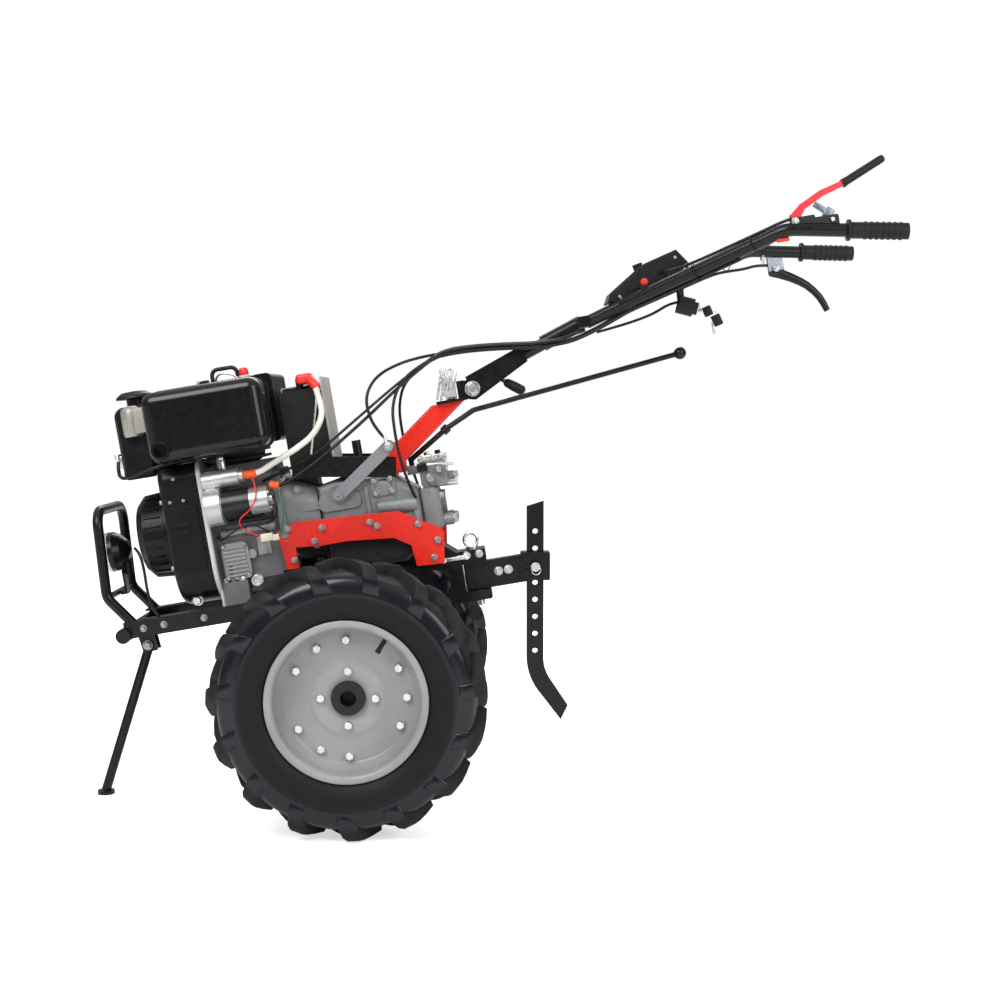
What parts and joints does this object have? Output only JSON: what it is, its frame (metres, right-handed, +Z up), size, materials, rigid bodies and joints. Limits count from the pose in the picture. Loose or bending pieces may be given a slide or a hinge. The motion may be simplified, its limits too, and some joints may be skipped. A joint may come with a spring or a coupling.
{
  "type": "walking tractor",
  "caption": "Two-wheel walking tractor with an open single-cylinder engine, lugged farm tyres, a long adjustable handlebar, a folding front stand and a rear drawbar with a depth coulter.",
  "frame": {"origin": "on the floor, under the middle of the overall length and width, parked on its wheels and front stand", "axes": "+X forward, +Y to the left as driven, +Z up"},
  "size_m": [1.7485, 0.824, 1.3911],
  "materials": {
    "black_paint": "satin",
    "black_plastic": "matte",
    "case_dark": "matte",
    "cast_grey": "satin",
    "grip_rubber": "matte",
    "lamp_lens": "gloss",
    "lead_white": "satin",
    "red_paint": "gloss",
    "rim_grey": "satin",
    "tyre_rubber": "matte",
    "zinc": "satin"
  },
  "bodies": {
    "chassis": {"air_cleaner": "black_plastic", "battery": "black_plastic", "battery_plate": "cast_grey", "battery_tray": "black_paint", "clamp_head": "black_paint", "clutch_arm": "cast_grey", "clutch_bell": "cast_grey", "column": "red_paint", "coulter": "black_paint", "coulter_pin": "zinc", "crankcase": "cast_grey", "cross_tube": "black_paint", "cylinder": "cast_grey", "cylinder_head": "cast_grey", "drawbar": "black_paint", "fan_housing": "black_paint", "final_drive": "case_dark", "front_guard": "black_paint", "fuel_cap": "black_plastic", "fuel_tank": "black_paint", "gear_lever": "black_paint", "gearbox_case": "cast_grey", "gearbox_rear": "cast_grey", "headlamp": "black_paint", "headlamp_lens": "lamp_lens", "hitch_bracket": "black_paint", "hitch_pin": "zinc", "muffler": "black_paint", "rail_left": "black_paint", "rail_right": "black_paint", "recoil_starter": "black_plastic", "shift_box": "cast_grey", "side_cover": "cast_grey", "side_plate_left": "red_paint", "side_plate_right": "red_paint", "stand_bracket": "black_paint", "starter_lead": "lead_white", "starter_motor": "black_paint", "starter_solenoid": "zinc"},
    "wheel_left": {"tyre_left": "tyre_rubber", "rim_left": "rim_grey", "hub_left": "black_paint", "half_shaft_left": "zinc"},
    "wheel_right": {"tyre_right": "tyre_rubber", "rim_right": "rim_grey", "hub_right": "black_paint", "half_shaft_right": "zinc"},
    "front_stand": {"stand_leg": "black_paint"},
    "handlebar": {"bar_left": "black_paint", "bar_right": "black_paint", "clutch_lever": "red_paint", "control_box": "black_plastic", "grip_left": "grip_rubber", "grip_right": "grip_rubber", "handlebar_arm": "black_paint", "key_switch": "black_plastic", "steering_lever": "black_paint"}
  },
  "joints": [
    {"name": "wheel_left_spin", "type": "hinge", "parent": "chassis", "child": "wheel_left", "pos_m": [0.2763, 0.34, 0.284], "axis": [0, 1, 0], "continuous": true},
    {"name": "wheel_right_spin", "type": "hinge", "parent": "chassis", "child": "wheel_right", "pos_m": [0.2763, -0.34, 0.284], "axis": [0, 1, 0], "continuous": true},
    {"name": "stand_fold", "type": "hinge", "parent": "chassis", "child": "front_stand", "pos_m": [0.75129, 0, 0.34139], "axis": [0, 1, 0], "range_deg": [0, 95]},
    {"name": "handlebar_tilt", "type": "hinge", "parent": "chassis", "child": "handlebar", "pos_m": [0.0265, 0, 0.91184], "axis": [0, 1, 0], "range_deg": [-8, 18]}
  ]
}
